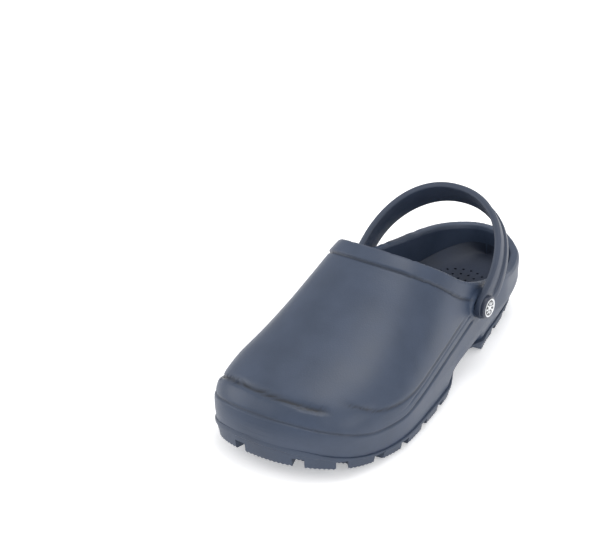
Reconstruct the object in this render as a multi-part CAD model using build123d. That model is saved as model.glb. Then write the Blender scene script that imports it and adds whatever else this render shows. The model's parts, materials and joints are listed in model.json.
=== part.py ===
"""Rubber garden clog, wearer's left, with a swinging heel strap.

The frame stands on the ground: toe towards -Y, heel towards +Y, outer (little toe) side
towards +X, +Z up. The origin is under the middle of the shoe. All sizes are millimetres.
"""
import math
import os

from build123d import *

# Driving dimensions: the plan of the shoe, about a European size 42
TOE_TIP_X = -8.0
HEEL_TIP_X = 1.5
HALF_LENGTH = 145.0
HALF_WIDTH = 60.6
# Inner (big toe) and outer edges of the plan, from the toe to the heel
INNER_EDGE = [(-24, -143.6), (-43, -136.5), (-56, -121), (-60.6, -98), (-59.0, -66), (-54.5, -28),
              (-49.5, 12), (-43.5, 50), (-37.8, 88), (-30.0, 121), (-15.5, 139.5)]
OUTER_EDGE = [(11, -142.5), (32, -132.5), (50, -113), (60.6, -76), (58.8, -34), (53.0, 10),
              (48.0, 50), (42.0, 90), (33.5, 122), (18.5, 139.5)]

# Driving dimensions: heights above the ground
TREAD_HEIGHT = 10.0
FLOOR_HEIGHT = 21.0
WIDEST_HEIGHT = 27.0
TOE_SPRING = 11.0
TOE_SPRING_START = -60.0
TOE_SPRING_RUN = 85.0
# Top of the closed upper over each place along the shoe, before the opening is cut
CREST = [(-145.0, 23.5), (-142.5, 34.5), (-136, 43.5), (-122, 52), (-100, 59.5), (-75, 68),
         (-50, 79), (-25, 92.5), (0, 104.5), (30, 110), (90, 112), (145, 112)]
# Side view of the rim of the opening, from the instep to the back of the heel
RIM_LINE = [(-8, 101), (8, 88.5), (24, 75), (41, 65.5), (70, 59.5), (105, 55), (150, 48)]
# How much lower the rim is under the outer ankle, at each point of that line
RIM_DIP = [0, 0, 0, 0, 6.5, 11.5, 0]
RIM_DIP_HALF_SPAN = 40.0
RIM_CUT_REACH = 80.0
BASE_TAPER = 0.97
CREST_SHIFT = 9.0
OUTER_POWER = 2.3
INNER_POWER = 2.7
BLOCK_FOOT = -6.0

# Driving dimensions: walls and loose footbed
UPPER_WALL = 4.6
INSOLE_THICK = 4.0
INSOLE_GAP = 0.4
VENT_RADIUS = 1.0
VENT_CENTRE = (2.0, 96.0)
VENT_RINGS = [(6.0, 6), (12.5, 13), (19.0, 20)]

# Driving dimensions: tread
LUG_DEPTH = 5.0
GROOVE_WIDTH = 5.0
GROOVE_PITCH = 17.0
FORE_GROOVES = 7
HEEL_GROOVES = 4
FORE_GROOVE_START = -126.0
HEEL_GROOVE_START = 78.0
CHANNEL_WIDTH = 6.0
WAIST_START = 6.0
WAIST_END = 64.0
WAIST_RISE = 7.5
TREAD_INSET = 1.0

# Driving dimensions: strap and its two snap rivets
PIVOT_Y = 41.0
PIVOT_Z = 48.5
OUTER_SEAT_X = 50.3
INNER_SEAT_X = -47.0
SEAT_RADIUS = 10.5
SEAT_DEPTH = 7.4
RUNNING_GAP = 0.3
STRAP_THICK = 4.6
STRAP_REACH = 77.0
STRAP_POWER = 2.15
STRAP_LEG = 11.0
STRAP_LEAN = 54.0
STRAP_END_RADIUS = 9.0
STRAP_FRONT = 13.0
STRAP_BACK = 8.5
RIB_THICK = 1.3
RIB_WIDTH = 6.5
RIB_START = 12.0
STEM_RADIUS = 4.0
STEM_CLEARANCE = 0.05
CAP_RADIUS = 8.2
CAP_THICK = 2.4
BADGE_RADIUS = 6.7
BADGE_THICK = 1.0
BADGE_SET = 0.6
STUD_RADIUS = 7.5
STUD_THICK = 1.8
PEG_RADIUS = 2.0
PEG_LENGTH = 5.0

BIG = 400.0


def along(table, y):
    """Height or width at y on the smooth curve through a table of (y, value)."""
    last = len(table) - 2
    i = max(0, min(last, sum(1 for row in table if row[0] <= y) - 1))
    (y0, v0), (y1, v1) = table[i], table[i + 1]
    ya, va = table[max(i - 1, 0)]
    yb, vb = table[min(i + 2, last + 1)]
    slope0 = (v1 - va) / (y1 - ya)
    slope1 = (vb - v0) / (yb - y0)
    run = y1 - y0
    t = min(1.0, max(0.0, (y - y0) / run))
    return (v0 * (1 + 2 * t) * (1 - t) ** 2 + slope0 * run * t * (1 - t) ** 2
            + v1 * t * t * (3 - 2 * t) + slope1 * run * t * t * (t - 1))


def spring(y):
    """How far the sole has curled up off the ground at y, towards the toe."""
    return TOE_SPRING * max(0.0, (TOE_SPRING_START - y) / TOE_SPRING_RUN) ** 2


def edge_curve(points):
    """One long side of the plan, from the toe tip to the heel tip."""
    return Spline((TOE_TIP_X, -HALF_LENGTH), *points, (HEEL_TIP_X, HALF_LENGTH))


INNER_CURVE = edge_curve(INNER_EDGE)
OUTER_CURVE = edge_curve(OUTER_EDGE)


def edge_x(curve, y):
    """Where one long side of the plan is at y."""
    low, high = 0.0, 1.0
    for _ in range(40):
        middle = (low + high) / 2
        if (curve @ middle).Y < y:
            low = middle
        else:
            high = middle
    return (curve @ low).X


def plan_face(inset):
    """The plan of the sole, drawn in by an inset all round."""
    face = make_face(Curve() + [INNER_CURVE, OUTER_CURVE])
    return scale(face, by=(1 - inset / HALF_WIDTH, 1 - inset / HALF_LENGTH, 1))


def side_profile(points):
    """A solid the full width of the shoe, from a side view drawn as (y, z)."""
    wire = Polyline(*[(0, y, z) for y, z in points], close=True)
    return extrude(make_face(wire), BIG / 2, dir=(1, 0, 0), both=True)


def below(height):
    """Everything under a level that curls up at the toe with the sole."""
    stations = [-150, -130, -115, -100, -85, -70, -60]
    curl = Spline(*[(0, y, height + spring(y)) for y in stations], tangents=[(0, 1, -0.28), (0, 1, 0)])
    start, end = curl @ 0, curl @ 1
    flat = Polyline(end, (0, 200, height), (0, 200, -60), (0, start.Y, -60), start)
    return extrude(make_face(Curve() + [curl, flat]), BIG / 2, dir=(1, 0, 0), both=True)


def slice_face(y, wall):
    """Upright slice of the closed upper at y; a wall above 0 gives the hollow inside it."""
    wide_scale = 1 - wall / HALF_WIDTH
    plan_y = y / (1 - wall / HALF_LENGTH)
    inner = edge_x(INNER_CURVE, plan_y)
    outer = edge_x(OUTER_CURVE, plan_y)
    middle = (inner + outer) / 2
    crest_x = middle - CREST_SHIFT * math.sin(math.pi * max(0.0, min(1.0, (plan_y + 145) / 220)))
    top = along(CREST, plan_y) - wall
    widest = spring(y) + min(WIDEST_HEIGHT, 0.45 * (top - spring(y)))
    halves = []
    for edge, power in ((outer, OUTER_POWER), (inner, INNER_POWER)):
        reach = (edge - middle) * wide_scale
        half = [(middle + reach * BASE_TAPER, BLOCK_FOOT), (middle + reach * 0.99, (widest + BLOCK_FOOT) / 2)]
        for angle in (0, 25, 50, 72):
            x = (middle + reach - crest_x) * math.cos(math.radians(angle)) ** (2 / power)
            z = (top - widest) * math.sin(math.radians(angle)) ** (2 / power)
            half.append((crest_x + x, widest + z))
        halves.append(half)
    outline = halves[0] + [(crest_x, top)] + halves[1][::-1] + [(middle, BLOCK_FOOT - 2)]
    return make_face(Spline(*[(x, y, z) for x, z in outline], periodic=True))


def upper_block(wall):
    """The closed upper as a solid, smaller all round by the wall."""
    reach = HALF_LENGTH - wall
    angles = [4, 9, 16, 25, 36, 48, 60, 74, 90, 104, 118, 130, 142, 152, 160, 166, 171, 175]
    return loft([slice_face(-reach * math.cos(math.radians(angle)), wall) for angle in angles])


def rivet_seats():
    """Flat round pads through both walls: the strap ends turn against their outer faces."""
    seats = []
    for seat_x in (OUTER_SEAT_X, INNER_SEAT_X):
        pad = Cylinder(SEAT_RADIUS, SEAT_DEPTH, rotation=(0, 90, 0))
        seats.append(Pos(seat_x - math.copysign(SEAT_DEPTH / 2, seat_x), PIVOT_Y, PIVOT_Z) * pad)
    return seats


def opening_slice(x):
    """Side view of the opening at x: its rim drops towards the outer side of the shoe."""
    share = (x / RIM_DIP_HALF_SPAN + 1) / 2
    points = [(x, y, z - dip * share) for (y, z), dip in zip(RIM_LINE, RIM_DIP)]
    rim = Spline(*points)
    return make_face(Curve() + [rim, Polyline(rim @ 1, (x, 200, 300), (x, -8, 300), rim @ 0)])


def make_shell():
    """Foam upper, heel cup and midsole, moulded in one shot."""
    hollow = upper_block(UPPER_WALL) - below(FLOOR_HEIGHT)
    shell = upper_block(0.0) - hollow
    for seat in rivet_seats():
        shell += seat
    shell -= loft([opening_slice(-RIM_CUT_REACH), opening_slice(RIM_CUT_REACH)])
    shell -= below(TREAD_HEIGHT)
    bore = Cylinder(STEM_RADIUS, BIG, rotation=(0, 90, 0))
    return shell - Pos(0, PIVOT_Y, PIVOT_Z) * bore


def make_tread():
    """Hard-wearing rubber tread, bonded under the midsole: lugs, grooves and a waist."""
    block = extrude(plan_face(TREAD_INSET), 40, both=True)
    tread = block & (below(TREAD_HEIGHT) - below(0.0))
    waist = [(WAIST_START, -10), (WAIST_START, 0), (WAIST_START + 9, WAIST_RISE),
             (WAIST_END - 5, WAIST_RISE), (WAIST_END, 0), (WAIST_END, -10)]
    tread -= side_profile(waist)
    rows = [FORE_GROOVE_START + GROOVE_PITCH * i for i in range(FORE_GROOVES)]
    rows += [HEEL_GROOVE_START + GROOVE_PITCH * i for i in range(HEEL_GROOVES)]
    for y in rows:
        groove = Box(BIG, GROOVE_WIDTH, 2 * LUG_DEPTH)
        tread -= Pos(0, y, spring(y)) * groove
    channel = Box(CHANNEL_WIDTH, 84, 2 * LUG_DEPTH)
    return tread - Pos(0, -28, 0) * channel


def make_insole():
    """Loose foam footbed that drops into the shell, with air holes under the heel."""
    slab = upper_block(UPPER_WALL + INSOLE_GAP) - below(FLOOR_HEIGHT)
    slab &= below(FLOOR_HEIGHT + INSOLE_THICK)
    vent = Cylinder(VENT_RADIUS, 2 * INSOLE_THICK - 2)
    for radius, count in VENT_RINGS:
        for i in range(count):
            angle = 2 * math.pi * i / count
            x = VENT_CENTRE[0] + radius * math.cos(angle)
            y = VENT_CENTRE[1] + radius * math.sin(angle)
            slab -= Pos(x, y, FLOOR_HEIGHT + INSOLE_THICK) * vent
    return slab


def arch_face(half_width, reach, thick):
    """Front view of the strap: a bent bar with straight legs that pass the rivets."""
    def bow(half, tall):
        points = []
        for step in (0, 4, 12, 25, 40, 55, 72, 90, 108, 125, 140, 155, 168, 176, 180):
            angle = math.radians(step)
            x = math.copysign(abs(math.cos(angle)) ** (2 / STRAP_POWER), 90 - step)
            rise = (tall - STRAP_LEG) * abs(math.sin(angle)) ** (2 / STRAP_POWER)
            points.append((half * x, 0, STRAP_LEG + rise))
        return Spline(*points)
    outside = bow(half_width, reach)
    inside = bow(half_width - thick, reach - thick)
    low = -2 * STRAP_END_RADIUS
    feet = [Polyline((side * half_width, 0, STRAP_LEG), (side * half_width, 0, low),
                     (side * (half_width - thick), 0, low), (side * (half_width - thick), 0, STRAP_LEG))
            for side in (1, -1)]
    return make_face(Curve() + [outside, inside, *feet])


def strap_width():
    """Side view of the strap: round at the rivet, wider over the top, as a full-width solid."""
    r = STRAP_END_RADIUS
    top = STRAP_REACH + 5
    left = Spline((0, -r, 0), (0, -r - 1, 30), (0, -STRAP_FRONT, top))
    right = Spline((0, r, 0), (0, r - 0.4, 30), (0, STRAP_BACK, top))
    end = ThreePointArc((0, -r, 0), (0, 0, -r), (0, r, 0))
    cap = Line(left @ 1, right @ 1)
    return extrude(make_face(Curve() + [left, right, end, cap]), BIG / 2, dir=(1, 0, 0), both=True)


def make_strap():
    """Foam heel strap, with a proud rib along its back edge, leaning back on its rivets."""
    outer_x = OUTER_SEAT_X + RUNNING_GAP + STRAP_THICK
    inner_x = INNER_SEAT_X - RUNNING_GAP - STRAP_THICK
    half_width = (outer_x - inner_x) / 2
    width = strap_width()
    band = extrude(arch_face(half_width, STRAP_REACH, STRAP_THICK), 20, dir=(0, 1, 0), both=True) & width
    rib = extrude(arch_face(half_width + RIB_THICK, STRAP_REACH + RIB_THICK, RIB_THICK + 1), 40, dir=(0, 1, 0))
    rib = rib & width & (Pos(0, STRAP_BACK - RIB_WIDTH, RIB_START) * Box(
        BIG, 40, BIG, align=(Align.CENTER, Align.MIN, Align.MIN)))
    strap = band + rib
    strap -= Cylinder(STEM_RADIUS, BIG, rotation=(0, 90, 0))
    centre = (outer_x + inner_x) / 2
    return Pos(centre, PIVOT_Y, PIVOT_Z) * Rot(-STRAP_LEAN, 0, 0) * strap


def make_rivet(seat_x):
    """Snap rivet on one side: outside button with its stem, inside stud, and badge."""
    out = math.copysign(1.0, seat_x)
    face = abs(seat_x) + 2 * RUNNING_GAP + STRAP_THICK
    inner_end = abs(seat_x) - SEAT_DEPTH
    stem = Cylinder(STEM_RADIUS - STEM_CLEARANCE, face - inner_end, align=(Align.CENTER, Align.CENTER, Align.MIN))
    button = Pos(0, 0, inner_end) * stem
    cap = Cylinder(CAP_RADIUS, CAP_THICK, align=(Align.CENTER, Align.CENTER, Align.MIN))
    cap = fillet(cap.edges().group_by(Axis.Z)[-1], 1.2)
    button += Pos(0, 0, face) * cap
    recess = Cylinder(BADGE_RADIUS, 2 * BADGE_SET)
    button -= Pos(0, 0, face + CAP_THICK) * recess
    socket = Cylinder(PEG_RADIUS + STEM_CLEARANCE, 2 * PEG_LENGTH)
    button -= Pos(0, 0, inner_end) * socket
    badge = Cylinder(BADGE_RADIUS - STEM_CLEARANCE, BADGE_THICK, align=(Align.CENTER, Align.CENTER, Align.MIN))
    badge = fillet(badge.edges().group_by(Axis.Z)[-1], 0.3)
    badge = Pos(0, 0, face + CAP_THICK - BADGE_SET) * badge
    disc = Cylinder(STUD_RADIUS, STUD_THICK, align=(Align.CENTER, Align.CENTER, Align.MAX))
    disc = fillet(disc.edges().group_by(Axis.Z)[0], 0.8)
    peg = Cylinder(PEG_RADIUS, PEG_LENGTH - 0.3, align=(Align.CENTER, Align.CENTER, Align.MIN))
    stud = Pos(0, 0, inner_end) * (disc + peg)
    place = Pos(0, PIVOT_Y, PIVOT_Z) * Rot(0, 90 * out, 0)
    return [place * piece for piece in (button, stud, badge)]


def main():
    nodes = {
        "clog_shell": make_shell(),
        "tread_sole": make_tread(),
        "insole": make_insole(),
        "heel_strap": make_strap(),
    }
    for name, seat_x in (("lateral", OUTER_SEAT_X), ("medial", INNER_SEAT_X)):
        button, stud, badge = make_rivet(seat_x)
        nodes["rivet_button_" + name] = button
        nodes["rivet_stud_" + name] = stud
        nodes["rivet_badge_" + name] = badge
    os.makedirs("parts", exist_ok=True)
    for name, solid in nodes.items():
        export_step(solid, "parts/" + name + ".step")


main()
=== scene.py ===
"""A rubber garden clog, dressed round its engineering model.

Shapes are worked out in millimetres, and turned to metres as each mesh is made."""
import json
import math

import bmesh
import bpy
import numpy as np
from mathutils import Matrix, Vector


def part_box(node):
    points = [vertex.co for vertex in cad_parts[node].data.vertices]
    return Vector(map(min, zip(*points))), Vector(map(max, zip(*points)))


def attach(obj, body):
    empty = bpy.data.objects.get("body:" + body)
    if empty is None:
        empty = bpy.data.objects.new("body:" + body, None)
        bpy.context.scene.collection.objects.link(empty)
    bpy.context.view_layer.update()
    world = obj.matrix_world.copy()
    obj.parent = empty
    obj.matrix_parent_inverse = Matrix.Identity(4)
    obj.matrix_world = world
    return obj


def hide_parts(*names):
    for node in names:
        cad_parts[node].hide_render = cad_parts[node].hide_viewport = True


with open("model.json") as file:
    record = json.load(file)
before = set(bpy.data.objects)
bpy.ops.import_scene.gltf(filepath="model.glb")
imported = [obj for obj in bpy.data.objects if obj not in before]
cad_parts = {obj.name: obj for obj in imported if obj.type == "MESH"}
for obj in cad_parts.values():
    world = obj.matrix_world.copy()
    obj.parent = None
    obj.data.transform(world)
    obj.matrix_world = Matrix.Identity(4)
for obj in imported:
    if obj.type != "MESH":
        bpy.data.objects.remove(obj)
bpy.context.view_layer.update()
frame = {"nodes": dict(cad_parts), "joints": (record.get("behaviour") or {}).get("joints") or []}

pivot = Vector(frame["joints"][0]["pos_m"])
MM = 0.001


# ---- Upper ---------------------------------------------------------------------------
# One foam-rubber moulding: closed toe, low heel cup and midsole in one piece, injected
# in a two-part mould. Its skin is satin and its lines are cut in the mould.

# Outlines of the shoe from above, as (x, y), from the toe to the heel
OUTER_EDGE_MM = [(11, -142.5), (32, -132.5), (50, -113), (60.6, -76), (58.8, -34), (53.0, 10),
                 (48.0, 50), (42.0, 90), (33.5, 122), (18.5, 139.5)]
INNER_EDGE_MM = [(-24, -143.6), (-43, -136.5), (-56, -121), (-60.6, -98), (-59.0, -66), (-54.5, -28),
                 (-49.5, 12), (-43.5, 50), (-37.8, 88), (-30.0, 121), (-15.5, 139.5)]
TOE_TIP_MM = (-8.0, -144.8)
HEEL_TIP_MM = (1.5, 144.6)
# Heights along the shoe, as (y, z): the top of the closed upper, and the rim cut through it
CREST_MM = [(-145.0, 23.5), (-142.5, 34.5), (-136, 43.5), (-122, 52), (-100, 59.5), (-75, 68),
            (-50, 79), (-25, 92.5), (0, 104.5), (30, 110), (90, 112), (145, 112)]
RIM_MM = [(-8, 101), (8, 88.5), (24, 75), (41, 65.5), (70, 59.5), (105, 55), (150, 48)]
# How much lower the rim runs on the outer side, as (y, drop)
DIP_MM = [(-8, 0), (8, 0), (24, 0), (41, 0), (70, 6.5), (105, 11.5), (150, 0)]
RIM_FRONT_Y, RIM_FRONT_HEIGHT = RIM_MM[0]
RIM_FRONT_SLOPE = 0.75
DIP_HALF_SPAN = 40
LIP_RISE = 2.2
TOE_SPRING, TOE_SPRING_START = 11.0, -60.0
LEDGE_HEIGHT, LEDGE_WRAP, LEDGE_WRAP_START = 9.5, 17.0, -80.0
OUTER_FULLNESS, INNER_FULLNESS = 2.3, 2.7
WIDEST_HEIGHT = 27
CREST_LEAN = 9
FOOT_TAPER = 0.06
SPAN_STEPS = 40
SIDE_COLUMNS = 230
COLUMNS = 2 * SIDE_COLUMNS


def smooth_path(points):
    """Dense smooth path that passes through every point."""
    p = np.array(points, float)
    p = np.vstack([2 * p[0] - p[1], p, 2 * p[-1] - p[-2]])
    t = np.linspace(0, 1, SPAN_STEPS, endpoint=False)[:, None]
    spans = [0.5 * (2 * b + (c - a) * t + (2 * a - 5 * b + 4 * c - d) * t ** 2
                    + (3 * b - a - 3 * c + d) * t ** 3)
             for a, b, c, d in zip(p[:-3], p[1:-2], p[2:-1], p[3:])]
    return np.vstack(spans + [p[-2:-1]])


plan = [TOE_TIP_MM, *OUTER_EDGE_MM, HEEL_TIP_MM, *INNER_EDGE_MM[::-1]]
plan_path = smooth_path([plan[-1], *plan, plan[0], plan[1]])[SPAN_STEPS:-2 * SPAN_STEPS]
heel_index = SPAN_STEPS * (len(OUTER_EDGE_MM) + 1)
outer_path = plan_path[:heel_index + 1]
inner_path = np.vstack([plan_path[heel_index:], plan_path[:1]])[::-1]
crest_path = smooth_path(CREST_MM)
rim_path = smooth_path(RIM_MM)
dip_path = smooth_path(DIP_MM)


def edge_at(path, y):
    return np.interp(y, np.maximum.accumulate(path[:, 1]), path[:, 0])


def crest_at(y):
    return np.interp(y, crest_path[:, 0], crest_path[:, 1])


def spring_at(y):
    """Toe spring: how far the sole has lifted off the ground at y."""
    return TOE_SPRING * np.clip((TOE_SPRING_START - y) / 85.0, 0, None) ** 2


def ledge_at(y):
    """Height of the top of the tread, which wraps up the toe."""
    return LEDGE_HEIGHT + LEDGE_WRAP * np.clip((LEDGE_WRAP_START - y) / 65.0, 0, None) ** 2


def rim_at(x, y):
    """Height of the rim. It dips under the outer ankle, and the rolled lip stands on top."""
    front = RIM_FRONT_HEIGHT + (RIM_FRONT_Y - y) * RIM_FRONT_SLOPE
    rim = np.where(y < RIM_FRONT_Y, front, np.interp(y, rim_path[:, 0], rim_path[:, 1]))
    dip = np.interp(y, dip_path[:, 0], dip_path[:, 1])
    return rim - dip * np.clip((x / DIP_HALF_SPAN + 1) / 2, 0, 1) - LIP_RISE


def level_side(path, power, z):
    """One side of the level curve of the closed upper at height z, from its nose to the heel."""
    ys = np.linspace(TOE_TIP_MM[1], HEEL_TIP_MM[1], 4000)
    nose = ys[np.argmax(crest_at(ys) > z + 0.02)]
    y = nose + (HEEL_TIP_MM[1] - nose) * (1 - np.cos(np.pi * np.linspace(0, 1, 700))) / 2
    middle = (edge_at(outer_path, y) + edge_at(inner_path, y)) / 2
    # The ridge of the vamp leans towards the inner side, over the big toe
    crest_x = middle - CREST_LEAN * np.sin(np.pi * np.clip((y + 145) / 220, 0, 1))
    top = crest_at(y)
    widest = spring_at(y) + np.minimum(WIDEST_HEIGHT, 0.45 * (top - spring_at(y)))
    edge = edge_at(path, y)
    above = np.clip((z - widest) / np.maximum(top - widest, 1e-3), 0, 1)
    below = np.clip((widest - z) / (widest + 6), 0, 1)
    upper_x = crest_x + (edge - crest_x) * (1 - above ** power) ** (1 / power)
    lower_x = middle + (edge - middle) * (1 - FOOT_TAPER * below)
    return np.where(z > widest, upper_x, lower_x), y


LEVELS = np.arange(2.0, 112.01, 0.5)


def level_table():
    """x and y of each column at each level. Columns run toe, outer side, heel, inner side."""
    table = np.zeros((len(LEVELS), COLUMNS, 2))
    share = np.linspace(0, 1, SIDE_COLUMNS + 1)
    for i, z in enumerate(LEVELS):
        sides = ((outer_path, OUTER_FULLNESS), (inner_path, INNER_FULLNESS))
        for side, (path, power) in enumerate(sides):
            x, y = level_side(path, power, z)
            run = np.concatenate([[0], np.cumsum(np.hypot(np.diff(x), np.diff(y)))])
            ring = np.stack([np.interp(share * run[-1], run, x), np.interp(share * run[-1], run, y)], 1)
            if side == 0:
                table[i, :SIDE_COLUMNS + 1] = ring
            else:
                table[i, SIDE_COLUMNS + 1:] = ring[1:-1][::-1]
    return table


table = level_table()


def column_points(k, heights):
    x = np.interp(heights, LEVELS, table[:, k, 0])
    y = np.interp(heights, LEVELS, table[:, k, 1])
    return np.stack([x, y, heights], 1)


def ring_at(heights):
    """One point of each column, at that column's height."""
    return np.array([column_points(k, np.array([heights[k]]))[0] for k in range(COLUMNS)])


def rows_along(path, stations):
    """Points at chosen distances along a path."""
    run = np.concatenate([[0], np.cumsum(np.linalg.norm(np.diff(path, axis=0), axis=1))])
    return np.stack([np.interp(stations * run[-1], run, path[:, i]) for i in range(3)], 1)


def grid_normals(grid):
    """Outward normals of a (rows, columns, 3) grid that closes round its columns."""
    across = np.roll(grid, -1, 1) - np.roll(grid, 1, 1)
    up = np.gradient(grid, axis=0)
    normal = np.cross(across, up)
    return normal / (np.linalg.norm(normal, axis=-1, keepdims=True) + 1e-9)


def ease(low, high, value):
    """0 below low, 1 above high, smooth between."""
    t = np.clip((value - low) / (high - low), 0, 1)
    return t * t * (3 - 2 * t)


def near(points, line):
    """Distance from every point to a line of points, and the index of the nearest one."""
    flat = points.reshape(-1, 3)
    best = np.full(len(flat), 1e9)
    index = np.zeros(len(flat), int)
    for start in range(0, len(flat), 4000):
        block = flat[start:start + 4000]
        d = np.linalg.norm(block[:, None] - line[None], axis=2)
        index[start:start + 4000] = d.argmin(1)
        best[start:start + 4000] = d.min(1)
    return best.reshape(points.shape[:-1]), index.reshape(points.shape[:-1])


def on_skin(line, grid, normal):
    """The line, with every point moved straight in or out onto the skin."""
    flat, flat_normal = grid.reshape(-1, 3), normal.reshape(-1, 3)
    index = np.array([np.linalg.norm(flat - p, axis=1).argmin() for p in line])
    height = ((line - flat[index]) * flat_normal[index]).sum(1)
    moved = line - height[:, None] * flat_normal[index]
    for _ in range(60):
        moved[1:-1] = (moved[:-2] + 2 * moved[1:-1] + moved[2:]) / 4
    return moved


def add_piece(name, points, faces):
    """A mesh object from points in millimetres, left selected and active."""
    mesh = bpy.data.meshes.new(name)
    mesh.from_pydata((points.reshape(-1, 3) * MM).tolist(), [], faces)
    mesh.validate()
    piece = bpy.data.objects.new(name, mesh)
    bpy.context.scene.collection.objects.link(piece)
    bpy.ops.object.select_all(action="DESELECT")
    bpy.context.view_layer.objects.active = piece
    piece.select_set(True)
    return piece


def skin_from_rows(name, rows):
    """A closed skin from rings of points, each end closed by rungs straight across."""
    count, around = rows.shape[:2]
    faces = []
    for j in range(count - 1):
        for k in range(around):
            n = (k + 1) % around
            faces.append((j * around + k, j * around + n, (j + 1) * around + n, (j + 1) * around + k))
    for j, flip in ((0, True), (count - 1, False)):
        for k in range(around // 2):
            rung = [k, k + 1, (around - k - 1) % around, (around - k) % around]
            rung = [j * around + v for v in dict.fromkeys(rung)]
            faces.append(tuple(rung[::-1] if flip else rung))
    piece = add_piece(name, rows, faces)
    bpy.ops.object.shade_smooth()
    return piece


LOW_ROWS, MIDDLE_ROWS, HIGH_ROWS = 46, 56, 22
LOW_BAND, HIGH_BAND = 40.0, 14.0


def upper_grid():
    """The outside skin of the upper, from the tread to the rim, and its rim line."""
    top_heights = np.zeros(COLUMNS)
    foot_heights = np.zeros(COLUMNS)
    fine = np.arange(8.0, 108.0, 0.1)
    for k in range(COLUMNS):
        points = column_points(k, fine)
        over = points[:, 2] > rim_at(points[:, 0], points[:, 1])
        top_heights[k] = fine[np.argmax(over)]
        foot_heights[k] = ledge_at(points[np.argmin(abs(points[:, 2] - 16)), 1]) - 1.5
    for _ in range(8):
        top_heights = (np.roll(top_heights, 1) + 2 * top_heights + np.roll(top_heights, -1)) / 4
    # Rows stand closest near the foot and the rim, where the finest lines are
    low = np.linspace(0, 1, LOW_ROWS, endpoint=False)
    middle = np.linspace(0, 1, MIDDLE_ROWS, endpoint=False)
    high = np.linspace(0, 1, HIGH_ROWS)
    grid = np.zeros((LOW_ROWS + MIDDLE_ROWS + HIGH_ROWS, COLUMNS, 3))
    for k in range(COLUMNS):
        path = column_points(k, np.arange(foot_heights[k], top_heights[k] + 0.05, 0.1))
        length = np.linalg.norm(np.diff(path, axis=0), axis=1).sum()
        low_end = min(LOW_BAND, 0.45 * length) / length
        high_start = 1 - min(HIGH_BAND, 0.35 * length) / length
        stations = np.concatenate([low * low_end, low_end + middle * (high_start - low_end),
                                   high_start + high * (1 - high_start)])
        grid[:, k] = rows_along(path, stations)
    return grid


SEAT_RADIUS = 10.5
OUTER_SEAT_MM, INNER_SEAT_MM = 50.3, -47.0
SEAT_DEPTH = 7.4
BUMPER_CREASE_MM = [(-58.5, -108, 37.5), (-54.5, -116, 41), (-41.2, -123, 47.4), (-24.5, -126.6, 49.2),
                    (-5, -128, 49), (5.6, -127.3, 48.7), (17.6, -126.1, 47.3), (27.9, -122.5, 46.1),
                    (35.9, -118.6, 44.5)]
# Thin mould lines, from the toe cap back towards each rivet
OUTER_LINE_MM = [(30, -111, 50.5), (40.5, -108.2, 47), (52.1, -98.1, 41.5), (56.7, -87.7, 39.1),
                 (59.3, -75.4, 38), (59.6, -54.5, 38.6), (56.6, -24.2, 43.4), (53.5, -1.4, 46),
                 (50.4, 24, 49.2)]
INNER_LINE_MM = [(-60, -98, 38), (-59.5, -75, 38), (-57, -50, 39), (-54, -24, 43), (-50.5, 0, 46.2),
                 (-47, 24, 49.2)]
# Height of the top of the midsole, as (y, z)
MIDSOLE_MM = [(-145, 39.5), (-138, 38.8), (-130, 35.5), (-114, 30), (-100, 26.6), (-77, 25.6), (-60, 28.5),
              (-44, 30.8), (-27, 33.6), (-9, 35.6), (10, 37.2), (38, 40.5), (60, 43)]
midsole_path = smooth_path(MIDSOLE_MM)
COLLAR_WIDTH = 10.6
COLLAR_RISE, COLLAR_LINE_DEPTH = 1.0, 0.7
BUMPER_RISE, CREASE_DEPTH = 1.2, 1.7
MOULD_LINE_DEPTH = 0.6
MIDSOLE_RISE, MIDSOLE_LINE_DEPTH = 0.55, 0.6
PAIRED_LINE_GAP, PAIRED_LINE_DEPTH = 6.6, 0.55
HEEL_BULGE, HEEL_FOOT_TAPER = 0.9, 3.0


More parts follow.
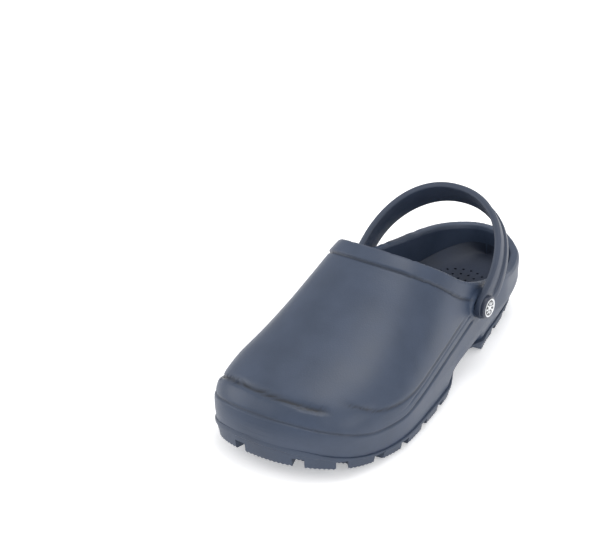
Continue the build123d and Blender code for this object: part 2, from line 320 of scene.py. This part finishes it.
def carve_upper(grid):
    """Raises the collar band, bumper and midsole and sinks the mould lines between them. Also returns the
    painted shade laid along those lines and the bumper crease.
    """
    normal = grid_normals(grid)
    x, y, z = grid[..., 0], grid[..., 1], grid[..., 2]
    lift = np.zeros(x.shape)
    # Painted shade: how much darker the colour is painted along the collar line, bumper crease and mould
    # lines
    painted_shade = np.zeros(x.shape)
    rim_gap, _ = near(grid, grid[-1])
    collar = 1 - ease(22, 42, y)
    # Painted shade along the collar line
    painted_shade += 0.6 * collar * np.exp(-((rim_gap - COLLAR_WIDTH) / 0.9) ** 2)
    lift += collar * (COLLAR_RISE * (1 - ease(9.2, 10.3, rim_gap))
                      - COLLAR_LINE_DEPTH * np.exp(-((rim_gap - COLLAR_WIDTH) / 0.8) ** 2))
    lift += (1 - collar) * 0.7 * np.exp(-(rim_gap / 7) ** 2)
    crease = on_skin(smooth_path(BUMPER_CREASE_MM), grid, normal)
    gap, index = near(grid, crease)
    spot = crease[index]
    strength = 1 - ease(24, 36, spot[..., 0])
    # Painted shade along the bumper crease
    painted_shade += strength * np.exp(-(gap / 1.3) ** 2)
    # The bumper stands proud below its crease, and dies away down the toe
    proud = ease(-1.4, 2.4, (spot[..., 2] - z) * 0.7 + (spot[..., 1] - y) * 0.7)
    lift += strength * (BUMPER_RISE * proud * np.exp(-(gap / 14.0) ** 2)
                        - CREASE_DEPTH * np.exp(-(gap / 1.5) ** 2))
    for points in (OUTER_LINE_MM, INNER_LINE_MM):
        line = on_skin(smooth_path(points), grid, normal)
        gap, index = near(grid, line)
        fade = ease(0, 60, index) * (1 - ease(8, 26, line[index][..., 1]))
        lift -= MOULD_LINE_DEPTH * fade * np.exp(-(gap / 1.25) ** 2)
        # Painted shade along each mould line
        painted_shade += 0.7 * fade * np.exp(-(gap / 0.9) ** 2)
    over = z - np.interp(y, midsole_path[:, 0], midsole_path[:, 1])
    side = 1 - ease(34, 46, y)
    lift += MIDSOLE_RISE * (1 - ease(-0.9, 0.9, over)) * (1 - ease(40, 70, y)) * ease(-30, -12, over)
    lift -= side * MIDSOLE_LINE_DEPTH * np.exp(-((over - 0.9) / 0.75) ** 2)
    # Painted shade along the midsole line
    painted_shade += 0.35 * side * np.exp(-((over - 0.9) / 0.7) ** 2)
    pair = ease(-85, -60, y) * (1 - ease(34, 44, y))
    lift -= pair * PAIRED_LINE_DEPTH * np.exp(-((over - PAIRED_LINE_GAP) / 0.75) ** 2)
    heel = ease(30, 75, y)
    lift += heel * (HEEL_BULGE * np.sin(np.pi * np.clip((z - 9) / 46, 0, 1))
                    - HEEL_FOOT_TAPER * (1 - ease(8, 28, z)))
    return grid + normal * lift[..., None], np.clip(painted_shade, 0, 1)


WAIST_TUCK, INNER_TUCK_SHARE = 8.3, 0.8
HEEL_SWELL = 2.6


def tuck_waist(points):
    """Draws the lower wall in under the arch and swells the outer side of the heel cup."""
    x, y, z = points[..., 0], points[..., 1], points[..., 2]
    waist = ease(-10, 24, y) * (1 - ease(43, 60, y))
    under = np.clip((21 - z) / 11, 0, 1) ** 1.2
    inward = WAIST_TUCK * waist * under
    swell = HEEL_SWELL * ease(66, 92, y) * (1 - ease(122, 143, y)) * ease(6, 26, z)
    moved = points.copy()
    moved[..., 0] = np.where(x > 0, x - inward + swell, x + INNER_TUCK_SHARE * inward)
    return moved


def seat_pads(grid, outer_x, inner_x, radius):
    """Flattens a round pad on both walls where a rivet passes."""
    reach = np.hypot(grid[..., 1] - pivot.y / MM, grid[..., 2] - pivot.z / MM)
    blend = (1 - ease(radius, radius + 3.5, reach)) * (1 - ease(54.5, 59.5, grid[..., 2]))
    target = np.where(grid[..., 0] > 0, outer_x, inner_x)
    grid[..., 0] += (target - grid[..., 0]) * blend
    return grid


COLLAR_WALL, HEEL_WALL_GAIN = 3.4, 2.6
INSIDE_ROWS = 30
INSIDE_FLOOR = 21
INSIDE_SEAT_RADIUS = 8.5


def inner_rows(grid, smooth):
    """A rounded lip over the rim, then the smooth inside wall down to the floor."""
    normal = grid_normals(smooth)
    thick = COLLAR_WALL + HEEL_WALL_GAIN * ease(30, 95, smooth[..., 1])
    inside = smooth - normal * thick[..., None]
    rise = grid[-1] - grid[-3]
    rise /= np.linalg.norm(rise, axis=1, keepdims=True)
    centre = (grid[-1] + inside[-1]) / 2
    radius = thick[-1][:, None] / 2
    # A squarish roll: the lip's edges catch the light as a crisp line
    lip = [centre + radius * (normal[-1] * math.copysign(abs(math.cos(a)) ** 0.6, math.cos(a))
                              + rise * abs(math.sin(a)) ** 0.7)
           for a in np.radians((12, 28, 45, 62, 78, 90, 102, 118, 135, 152, 168))]
    wall = np.zeros((INSIDE_ROWS, COLUMNS, 3))
    for k in range(COLUMNS):
        path = inside[::-1, k]
        floor_height = INSIDE_FLOOR + spring_at(path[:, 1])
        low = np.argmax(path[:, 2] < floor_height)
        low = low if low > 0 else len(path) - 1
        wall[:, k] = rows_along(path[:low + 1], np.linspace(0, 1, INSIDE_ROWS) ** 1.15)
    wall = seat_pads(wall, OUTER_SEAT_MM - SEAT_DEPTH, INNER_SEAT_MM + SEAT_DEPTH, INSIDE_SEAT_RADIUS)
    return np.concatenate([np.array(lip), wall])


def smooth_toe_seam(grid):
    """Evens out the columns round the tip of the toe, where the two sides meet."""
    column = np.arange(COLUMNS)
    away = np.minimum(column, COLUMNS - column)
    weight = np.exp(-(away / 8.0) ** 2)[None, :, None]
    for _ in range(12):
        even = (np.roll(grid, 1, 1) + 2 * grid + np.roll(grid, -1, 1)) / 4
        grid = grid + (even - grid) * weight
    return grid


plain_grid = smooth_toe_seam(upper_grid())
carved, line_shade_amount = carve_upper(plain_grid)
outside = tuck_waist(seat_pads(carved, OUTER_SEAT_MM, INNER_SEAT_MM, SEAT_RADIUS))
inside = inner_rows(outside, tuck_waist(plain_grid))
upper = skin_from_rows("upper_moulding", np.concatenate([outside, inside]))
# Painted shade for the mould lines and the bumper crease: how dark each point is painted
line_shade_attribute = upper.data.attributes.new("painted_line_shade", "FLOAT", "POINT")
no_painted_shade_inside = np.zeros(inside.shape[0] * COLUMNS)
line_shade_attribute.data.foreach_set("value", np.concatenate([line_shade_amount.ravel(), no_painted_shade_inside]))


def to_linear(hex_colour):
    """Linear RGBA of an sRGB hex colour such as "3a4257"."""
    parts = [int(hex_colour[i:i + 2], 16) / 255 for i in (0, 2, 4)]
    return [c / 12.92 if c <= 0.04045 else ((c + 0.055) / 1.055) ** 2.4 for c in parts] + [1.0]


def add_node(material, kind, settings, links):
    """Adds a shader node; links maps an input name to (node, output name)."""
    node = material.node_tree.nodes.new(kind)
    for name, value in settings.items():
        if name in node.inputs:
            node.inputs[name].default_value = value
        else:
            setattr(node, name, value)
    for name, (source, output) in links.items():
        material.node_tree.links.new(source.outputs[output], node.inputs[name])
    return node


def new_material(name):
    """An empty node material and its output node."""
    material = bpy.data.materials.new(name)
    material.use_nodes = True
    material.node_tree.nodes.clear()
    return material, add_node(material, "ShaderNodeOutputMaterial", {}, {})


def foam_rubber(name, light, dark, roughness, grain):
    """Moulded foam rubber: one colour through, faintly clouded, with a fine satin mould grain."""
    material, output = new_material(name)
    place = add_node(material, "ShaderNodeTexCoord", {}, {})
    # Clouding 25 mm across, from uneven flow of the foam in the mould
    cloud = add_node(material, "ShaderNodeTexNoise", {"Scale": 40.0, "Detail": 3.0},
                     {"Vector": (place, "Object")})
    tint = add_node(material, "ShaderNodeValToRGB", {}, {"Fac": (cloud, "Fac")})
    tint.color_ramp.elements[0].position = 0.35
    tint.color_ramp.elements[0].color = to_linear(dark)
    tint.color_ramp.elements[1].position = 0.65
    tint.color_ramp.elements[1].color = to_linear(light)
    # The foam is one colour, but its carved lines alone look too faint, so painted shade darkens them here.
    # Only the upper has the attribute
    line = add_node(material, "ShaderNodeAttribute", {"attribute_name": "painted_line_shade"}, {})
    shade = add_node(material, "ShaderNodeMix", {"data_type": "RGBA"}, {})
    # Painted shade colour laid into the mould lines and the bumper crease
    shade.inputs[7].default_value = to_linear("161b25")
    material.node_tree.links.new(line.outputs["Fac"], shade.inputs[0])
    material.node_tree.links.new(tint.outputs["Color"], shade.inputs[6])
    # Mould grain is about 0.3 mm across, drawn near 1 mm so that it shows at this distance
    pores = add_node(material, "ShaderNodeTexNoise", {"Scale": 1000.0, "Detail": 2.0},
                     {"Vector": (place, "Object")})
    soft = add_node(material, "ShaderNodeMapRange",
                    {"From Min": 0.3, "From Max": 0.7,
                     "To Min": roughness - 0.04, "To Max": roughness + 0.05},
                    {"Value": (cloud, "Fac")})
    bump = add_node(material, "ShaderNodeBump", {"Strength": grain, "Distance": 0.0002},
                    {"Height": (pores, "Fac")})
    shader = add_node(material, "ShaderNodeBsdfPrincipled", {"IOR": 1.5},
                      {"Roughness": (soft, "Result"), "Normal": (bump, "Normal")})
    material.node_tree.links.new(shade.outputs[2], shader.inputs["Base Color"])
    material.node_tree.links.new(shader.outputs[0], output.inputs["Surface"])
    return material


upper_foam = foam_rubber("moulded_foam_rubber", "384459", "313d51", 0.42, 0.35)
upper.data.materials.append(upper_foam)
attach(upper, "shoe")
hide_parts("clog_shell")


# ---- Tread ---------------------------------------------------------------------------
# A harder rubber sole, moulded apart and bonded under the foam. Its edge stands proud as
# a ledge, wraps up the toe, and is notched between square lugs with serrated feet.
tread_foam = foam_rubber("moulded_tread_rubber", "364256", "2f3a4d", 0.48, 0.5)


SERRATION = 0.8
ARCH_RISE = 7.4
HEEL_INSET = 3.2


def tread_rows():
    """Rings from the middle of the feet, up the edge, over the ledge to the top face."""
    base = ring_at(np.full(COLUMNS, 16.0))
    ledge = ledge_at(base[:, 1])
    feet = spring_at(base[:, 1])
    serration = np.where(np.arange(COLUMNS) % 2 == 0, 0.0, SERRATION)
    arch = ease(2, 22, base[:, 1]) * (1 - ease(46, 62, base[:, 1]))
    # Each pair is how far the edge stands in from the wall above, and how high it is
    profile = ((9.0, 0.0), (0.9, 0.0), (0.2, 0.07), (0.0, 0.2), (-0.2, 0.4), (-0.3, 0.6), (-0.4, 0.70),
               (-1.3, 0.76), (-1.4, 0.88), (-1.0, 0.97), (0.8, 1.03), (9.0, 1.03))
    heel_inset = HEEL_INSET * ease(44, 74, base[:, 1])[:, None]
    rows = []
    for inset, share in profile:
        wall = ring_at(np.clip(feet + (ledge - feet) * share + 4, 6, 60))
        tangent = np.roll(wall, -1, 0) - np.roll(wall, 1, 0)
        outward = np.stack([tangent[:, 1], -tangent[:, 0]], 1)
        outward /= np.linalg.norm(outward, axis=1, keepdims=True)
        ring = wall.copy()
        ring[:, :2] -= outward * (inset + heel_inset)
        ring[:, 2] = feet + (ledge - feet) * share
        if share < 0.3:
            ring[:, 2] += serration * (1 - share / 0.3)
        ring[:, 2] = np.maximum(ring[:, 2], ARCH_RISE * arch)
        rows.append(ring)
    return tuck_waist(np.array(rows))


tread = skin_from_rows("tread", tread_rows())


def cutter(location, size, turn):
    """A box that will be cut out of the tread; sizes in millimetres."""
    bpy.ops.object.select_all(action="DESELECT")
    bpy.ops.mesh.primitive_cube_add(size=1, location=[c * MM for c in location], rotation=(0, 0, turn))
    box = bpy.context.object
    box.scale = [c * MM for c in size]
    bpy.ops.object.transform_apply(location=True, rotation=True, scale=True)
    return box


def cut_away(piece, boxes):
    """Joins the boxes and subtracts them from a piece."""
    bpy.ops.object.select_all(action="DESELECT")
    for box in boxes:
        box.select_set(True)
    bpy.context.view_layer.objects.active = boxes[0]
    if len(boxes) > 1:
        bpy.ops.object.join()
    modifier = piece.modifiers.new("cut", "BOOLEAN")
    modifier.object = boxes[0]
    modifier.operation = "DIFFERENCE"
    modifier.solver = "EXACT"
    modifier.use_self = True
    bpy.ops.object.select_all(action="DESELECT")
    bpy.context.view_layer.objects.active = piece
    piece.select_set(True)
    bpy.ops.object.modifier_apply(modifier="cut")
    bpy.data.objects.remove(boxes[0])


NOTCH_WIDTH, NOTCH_HEIGHT, NOTCH_DEPTH = 8.0, 7.0, 9.0
# Notches round the edge, as (x, y): toe front, outer side, inner side, heel
NOTCHES = [(-48, -132), (-22, -144), (20, -140), (43, -123), (56, -97), (60, -72), (59, -46), (56, -20),
           (-60, -104), (-60, -76), (-58, -50), (-54, -22), (44, 84), (38, 108), (26, 131),
           (-39, 84), (-34, 108), (-22, 134), (2, 144)]
notch_boxes = []
for x, y in NOTCHES:
    # The notch runs in towards the middle of the forefoot or of the heel
    aim_y = -70 if y < 0 else 90
    turn = math.atan2(y - aim_y, x) if abs(y - aim_y) > 35 else (0 if x > 0 else math.pi)
    place = (x, y, float(spring_at(y)))
    notch_boxes.append(cutter(place, (2 * NOTCH_DEPTH, NOTCH_WIDTH, 2 * NOTCH_HEIGHT), turn))

GROOVE_WIDTH, GROOVE_DEPTH = 4.0, 4.5
# Grooves straight across the sole, as (y, length)
CROSS_GROOVES = [(-110, 80), (-84, 90), (-60, 90), (-34, 84), (-12, 76), (80, 58), (102, 52)]
cross_grooves = [cutter((0, y, float(spring_at(y))), (reach, GROOVE_WIDTH, 2 * GROOVE_DEPTH), 0)
                 for y, reach in CROSS_GROOVES]
# The long channels are a little deeper than the grooves that cross them
channels = [cutter((0.3, -60.2, 0), (4.2, 96.5, 2 * GROOVE_DEPTH + 0.9), 0),
            cutter((2.3, 98.3, 0), (4.1, 40.3, 2 * GROOVE_DEPTH + 0.7), 0)]
cut_away(tread, notch_boxes + cross_grooves + channels)
bpy.ops.object.shade_smooth_by_angle(angle=math.radians(32))
tread.data.materials.append(tread_foam)
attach(tread, "shoe")
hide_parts("tread_sole")


# ---- Footbed -------------------------------------------------------------------------
# A loose slab of softer foam, dished under the heel and raised under the arch, dropped in
# after moulding. Small air holes are punched through it under the heel.
footbed_foam = foam_rubber("matt_footbed_foam", "273145", "222b3c", 0.6, 0.6)
FOOTBED_STEPS = 40
FOOTBED_FLOOR, FOOTBED_THICK = 21.4, 3.6
EDGE_RISE, ARCH_SUPPORT, HEEL_RISE, HEEL_DISH = 7.5, 4.0, 3.0, 1.0


def footbed_rings():
    """Rungs across the shoe, from its outer to its inner wall and back underneath."""
    rim = inside[-1]
    share = np.linspace(0, 1, FOOTBED_STEPS + 1)[:, None]
    side = np.abs(2 * share[:, 0] - 1)
    rings = []
    for k in range(1, SIDE_COLUMNS):
        a, b = rim[k], rim[COLUMNS - k]
        middle = (a + b) / 2
        span = np.linalg.norm(a - b)
        shrink = max(0.05, 1 - 1.0 / max(span, 1.1))
        row = middle + ((1 - share) * a + share * b - middle) * shrink
        y = row[:, 1]
        base = FOOTBED_FLOOR + spring_at(y)
        edge = EDGE_RISE * side ** 4 * ease(-40, 60, y)
        arch = ARCH_SUPPORT * np.exp(-((y - 5) / 45) ** 2) * np.clip(2 * share[:, 0] - 1, 0, 1) ** 2
        cup = HEEL_RISE * ease(105, 140, y) ** 2
        top = row.copy()
        top[:, 2] = base + FOOTBED_THICK + edge + arch + cup - HEEL_DISH * ease(60, 95, y) * (1 - side ** 2)
        low = row.copy()
        low[:, 2] = base
        rings.append(np.vstack([top, low[::-1]]))
    return np.array(rings)


def solid_from_rings(name, rings):
    """A closed solid from rings of points, with one flat face at each end."""
    count, around = rings.shape[:2]
    faces = []
    for j in range(count - 1):
        for k in range(around):
            n = (k + 1) % around
            faces.append((j * around + k, (j + 1) * around + k, (j + 1) * around + n, j * around + n))
    faces.append(tuple(range(around)))
    faces.append(tuple((count - 1) * around + k for k in range(around))[::-1])
    piece = add_piece(name, rings, faces)
    bpy.ops.object.mode_set(mode="EDIT")
    bpy.ops.mesh.select_all(action="SELECT")
    bpy.ops.mesh.normals_make_consistent(inside=False)
    bpy.ops.object.mode_set(mode="OBJECT")
    return piece


footbed = solid_from_rings("footbed", footbed_rings())

VENT_CENTRE_X, VENT_CENTRE_Y = 2, 96
# Three rings of air holes, as (ring radius, number of holes)
VENT_RINGS = [(6.0, 6), (12.5, 13), (19.0, 20)]
VENT_RADIUS = 1.0
PUNCH_LENGTH, PUNCH_HEIGHT = 9, 25
punches = []
for ring_radius, holes in VENT_RINGS:
    for i in range(holes):
        angle = 2 * math.pi * i / holes
        spot = ((VENT_CENTRE_X + ring_radius * math.cos(angle)) * MM,
                (VENT_CENTRE_Y + ring_radius * math.sin(angle)) * MM, PUNCH_HEIGHT * MM)
        bpy.ops.mesh.primitive_cylinder_add(vertices=12, radius=VENT_RADIUS * MM, depth=PUNCH_LENGTH * MM,
                                            location=spot)
        punches.append(bpy.context.object)
cut_away(footbed, punches)
bpy.ops.object.shade_smooth_by_angle(angle=math.radians(40))
footbed.data.materials.append(footbed_foam)
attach(footbed, "shoe")
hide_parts("insole")


# ---- Heel strap ----------------------------------------------------------------------
# A foam-rubber arch, moulded in one. A proud rib runs along its back edge; each end is
# round and turns on a rivet, between the seat on the shoe and the rivet's cap.
STRAP_THICK, STRAP_REACH, STRAP_LEG, STRAP_POWER = 4.6, 77.0, 11.0, 2.15
STRAP_LEAN = math.radians(54)
STRAP_END = 9.0
# How far the outer faces of the two ends stand from the middle of the shoe
OUTER_END_X, INNER_END_X = 55.2, 51.9
strap_half = (OUTER_END_X + INNER_END_X) / 2
strap_centre = (OUTER_END_X - INNER_END_X) / 2
LEG_SHARE = 0.16
END_ALLOWANCE = 0.25


def strap_station(t, inward):
    """Point on the arch at t from -1 (outer end) to 1 (inner end), offset inward, as (x, height)."""
    half, tall = strap_half - inward, STRAP_REACH - inward
    if abs(t) > 1 - LEG_SHARE:
        drop = (abs(t) - (1 - LEG_SHARE)) / LEG_SHARE
        return math.copysign(half, -t), STRAP_LEG - drop * (STRAP_LEG + STRAP_END - END_ALLOWANCE)
    angle = math.pi / 2 * (1 - t / (1 - LEG_SHARE))
    x = -math.copysign(abs(math.cos(angle)) ** (2 / STRAP_POWER), t) * half
    return x, STRAP_LEG + (tall - STRAP_LEG) * abs(math.sin(angle)) ** (2 / STRAP_POWER)


def strap_section(front, back, thick, rib):
    """Rounded bar section with a rib on its back edge, as (width place, distance inward)."""
    # Everything narrows with the strap, so the section never folds over itself at a round end
    k = min(1.0, (front + back) / (2 * STRAP_END))
    rib_edge = back - min(6.5, 0.4 * (front + back))
    corner = min(1.0, thick * 0.22) * k
    return [(-front, thick - corner), (-front, corner), (-front + corner * 0.3, corner * 0.3),
            (-front + corner, 0.0), (-front * 0.4, -0.12 * k),
            (rib_edge - 2.2 * k, 0.0), (rib_edge - 1.2 * k, 0.12 * k),
            (rib_edge - 0.5 * k, 0.35 * rib), (rib_edge - 0.1 * k, 0.1 * rib),
            (rib_edge + 0.3 * k, -0.9 * rib), (rib_edge + 1.2 * k, -1.25 * rib),
            (back - 1.6 * k, -1.3 * rib), (back - 0.5 * k, -1.0 * rib),
            (back, -0.2 * rib + corner * (1 - rib)), (back, thick - corner),
            (back - corner * 0.3, thick - corner * 0.3), (back - corner, thick),
            (-front + corner, thick), (-front + corner * 0.3, thick - corner * 0.3)]


STRAP_STEPS = 170
FRONT_GAIN, BACK_LOSS, BACK_WAIST = 4.0, 0.5, 1.6
BORE_RADIUS, BORE_LENGTH = 4.0, 0.14
strap_rings = []
for i in range(STRAP_STEPS + 1):
    # Stations crowd together towards the round ends
    even = -1 + 2 * i / STRAP_STEPS
    t = 0.35 * even + 0.65 * math.sin(math.pi / 2 * even)
    x, height = strap_station(t, 0.0)
    ix, iheight = strap_station(t, STRAP_THICK)
    if height < 0:
        wide = math.sqrt(STRAP_END ** 2 - height ** 2)
        front, back = wide, wide
    else:
        grow = height / STRAP_REACH
        front = STRAP_END + FRONT_GAIN * grow ** 1.3
        back = STRAP_END - BACK_LOSS * grow - BACK_WAIST * math.sin(math.pi * min(grow, 1.0)) ** 2
    rib = float(ease(8, 16, height))
    ring = []
    for place, depth in strap_section(front, back, STRAP_THICK, rib):
        share = depth / STRAP_THICK
        px = x + (ix - x) * share + strap_centre
        ph = height + (iheight - height) * share
        py = ph * math.sin(STRAP_LEAN) + place * math.cos(STRAP_LEAN)
        pz = ph * math.cos(STRAP_LEAN) - place * math.sin(STRAP_LEAN)
        ring.append((px, py + pivot.y / MM, pz + pivot.z / MM))
    strap_rings.append(ring)
strap = solid_from_rings("strap_arch", np.array(strap_rings))
bpy.ops.mesh.primitive_cylinder_add(vertices=48, radius=BORE_RADIUS * MM, depth=BORE_LENGTH,
                                    location=(0, pivot.y, pivot.z), rotation=(0, math.pi / 2, 0))
cut_away(strap, [bpy.context.object])
bpy.ops.object.shade_smooth_by_angle(angle=math.radians(50))
strap_foam = foam_rubber("moulded_strap_rubber", "343e51", "2e384a", 0.42, 0.3)
strap.data.materials.append(strap_foam)
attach(strap, "strap")
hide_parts("heel_strap")


# ---- Rivets --------------------------------------------------------------------------
# Snap rivets of hard nylon: a round button outside, a flat stud inside. A bright plated
# disc with a plain raised rosette is pressed into each button.
def hard_finish(name, colour, mottle_scale, roughness, settings):
    """A hard, shiny surface whose roughness drifts between two values."""
    material, output = new_material(name)
    place = add_node(material, "ShaderNodeTexCoord", {}, {})
    mottle = add_node(material, "ShaderNodeTexNoise", {"Scale": mottle_scale, "Detail": 2.0},
                      {"Vector": (place, "Object")})
    gloss = add_node(material, "ShaderNodeMapRange", {"To Min": roughness[0], "To Max": roughness[1]},
                     {"Value": (mottle, "Fac")})
    shader = add_node(material, "ShaderNodeBsdfPrincipled", {"Base Color": to_linear(colour), **settings},
                      {"Roughness": (gloss, "Result")})
    material.node_tree.links.new(shader.outputs[0], output.inputs["Surface"])
    return material


# Moulded nylon: a little glossier than the foam, and darker
nylon = hard_finish("dark_nylon", "2c3344", 300.0, (0.30, 0.42), {"IOR": 1.53})
for name in ("rivet_button_lateral", "rivet_button_medial", "rivet_stud_lateral", "rivet_stud_medial"):
    node = frame["nodes"][name]
    node.data.materials.clear()
    node.data.materials.append(nylon)

# Bright silver-coloured plate, polished a little unevenly
plate = hard_finish("silver_plate", "d9dbdd", 900.0, (0.16, 0.30), {"Metallic": 1.0})
# Baked enamel in the recess: nearly black, smooth enough to shine
enamel = hard_finish("dark_enamel_fill", "22262f", 500.0, (0.25, 0.4), {"IOR": 1.5})

RECESS_LEVEL = 0.15 * MM
PETALS = 8
PETAL_RING = 3.3 * MM
PETAL_LEVEL = 0.2 * MM
PETAL_RADIUS = 1.0 * MM
BADGE_RADIUS = 6.6 * MM
BADGE_BORDER = 0.9 * MM
for side, node_name in ((1, "rivet_badge_lateral"), (-1, "rivet_badge_medial")):
    low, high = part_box(node_name)
    face_x = high.x if side > 0 else low.x
    back_x = low.x if side > 0 else high.x
    bpy.ops.object.select_all(action="DESELECT")
    bpy.ops.mesh.primitive_cylinder_add(vertices=64, radius=BADGE_RADIUS, depth=abs(face_x - back_x),
                                        location=(0, 0, 0), end_fill_type="NGON")
    badge = bpy.context.object
    badge.name = "badge_outer" if side > 0 else "badge_inner"
    bpy.ops.object.mode_set(mode="EDIT")
    bm = bmesh.from_edit_mesh(badge.data)
    for face in bm.faces:
        face.select = face.normal.z > 0.9
    bmesh.update_edit_mesh(badge.data)
    bpy.ops.mesh.inset(thickness=BADGE_BORDER)
    bpy.ops.mesh.inset(thickness=0.35 * MM, depth=-0.35 * MM)
    bpy.ops.mesh.inset(thickness=3.6 * MM, depth=0.0)
    bpy.ops.mesh.inset(thickness=0.3 * MM, depth=0.4 * MM)
    bpy.ops.object.mode_set(mode="OBJECT")
    parts = [badge]
    for i in range(PETALS):
        angle = 2 * math.pi * i / PETALS
        spot = (PETAL_RING * math.cos(angle), PETAL_RING * math.sin(angle), PETAL_LEVEL)
        bpy.ops.mesh.primitive_uv_sphere_add(segments=16, ring_count=8, radius=PETAL_RADIUS,
                                             location=spot, rotation=(0, 0, angle))
        petal = bpy.context.object
        petal.scale = (1.45, 0.75, 0.55)
        parts.append(petal)
    for part in parts:
        part.select_set(True)
    bpy.context.view_layer.objects.active = badge
    bpy.ops.object.join()
    badge.rotation_euler = (0, side * math.pi / 2, 0)
    badge.location = ((face_x + back_x) / 2, pivot.y, pivot.z)
    bpy.ops.object.transform_apply(location=True, rotation=True, scale=True)
    bpy.ops.object.shade_smooth_by_angle(angle=math.radians(35))
    badge.data.materials.append(plate)
    badge.data.materials.append(enamel)
    for face in badge.data.polygons:
        depth = side * (face.center.x - (face_x + back_x) / 2)
        reach = math.hypot(face.center.y - pivot.y, face.center.z - pivot.z)
        in_recess = abs(depth - RECESS_LEVEL) < 0.05 * MM and reach < BADGE_RADIUS - BADGE_BORDER
        if in_recess and abs(face.normal.x) > 0.9:
            face.material_index = 1
    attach(badge, "shoe")
    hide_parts(node_name)


# ---- Studio -------------------------------------------------------------------------
# The clog stands on seamless white paper, lit by one broad softbox overhead and one from
# each side of the toe. The paper gives off a little light too, to keep the shadow faint.
CAMERA_AZIMUTH = math.radians(31.64)
CAMERA_ELEVATION = math.radians(31.55)
CAMERA_DISTANCE = 1.3607
CAMERA_TARGET = Vector((0, 0, 0.040))
LENS_MM = 118.2
SHIFT_X, SHIFT_Y = -0.1383, 0.0898
PAPER_GLOW = 0.34
ROOM_LIGHT = 0.75

toward_camera = Vector((math.sin(CAMERA_AZIMUTH) * math.cos(CAMERA_ELEVATION),
                        -math.cos(CAMERA_AZIMUTH) * math.cos(CAMERA_ELEVATION),
                        math.sin(CAMERA_ELEVATION)))
camera_data = bpy.data.cameras.new("camera")
camera_data.lens = LENS_MM
camera_data.shift_x = SHIFT_X
camera_data.shift_y = SHIFT_Y
camera = bpy.data.objects.new("camera", camera_data)
camera.location = CAMERA_TARGET + toward_camera * CAMERA_DISTANCE
camera.rotation_euler = toward_camera.to_track_quat("Z", "Y").to_euler()
bpy.context.scene.collection.objects.link(camera)
bpy.context.scene.camera = camera

bpy.ops.object.select_all(action="DESELECT")
bpy.ops.mesh.primitive_plane_add(size=16, location=(0, 0, 0))
floor = bpy.context.object
floor.name = "studio_floor"
floor_paint, floor_output = new_material("white_sweep_paper")
# Matt white paper: no gloss at all, so nothing mirrors the shoe
floor_shader = add_node(floor_paint, "ShaderNodeBsdfPrincipled",
                        {"Base Color": to_linear("fbfbfc"), "Roughness": 0.95, "Specular IOR Level": 0.0,
                         "Emission Color": to_linear("ffffff"), "Emission Strength": PAPER_GLOW}, {})
floor_paint.node_tree.links.new(floor_shader.outputs[0], floor_output.inputs["Surface"])
floor.data.materials.append(floor_paint)


def soft_light(name, location, size, power):
    """A square softbox aimed at the shoe."""
    data = bpy.data.lights.new(name, "AREA")
    data.size = size
    data.energy = power
    lamp = bpy.data.objects.new(name, data)
    lamp.location = location
    lamp.rotation_euler = Vector(location).to_track_quat("Z", "Y").to_euler()
    bpy.context.scene.collection.objects.link(lamp)


soft_light("overhead_softbox", (0.1, 0.5, 2.2), 1.3, 17)
soft_light("right_softbox", (2.2, -0.6, 1.3), 1.4, 12)
soft_light("left_softbox", (-1.9, -0.9, 1.3), 1.4, 15)

studio = bpy.data.worlds.new("white_room")
studio.use_nodes = True
studio.node_tree.nodes["Background"].inputs["Color"].default_value = (1, 1, 1, 1)
studio.node_tree.nodes["Background"].inputs["Strength"].default_value = ROOM_LIGHT
bpy.context.scene.world = studio
bpy.context.scene.view_settings.view_transform = "Standard"
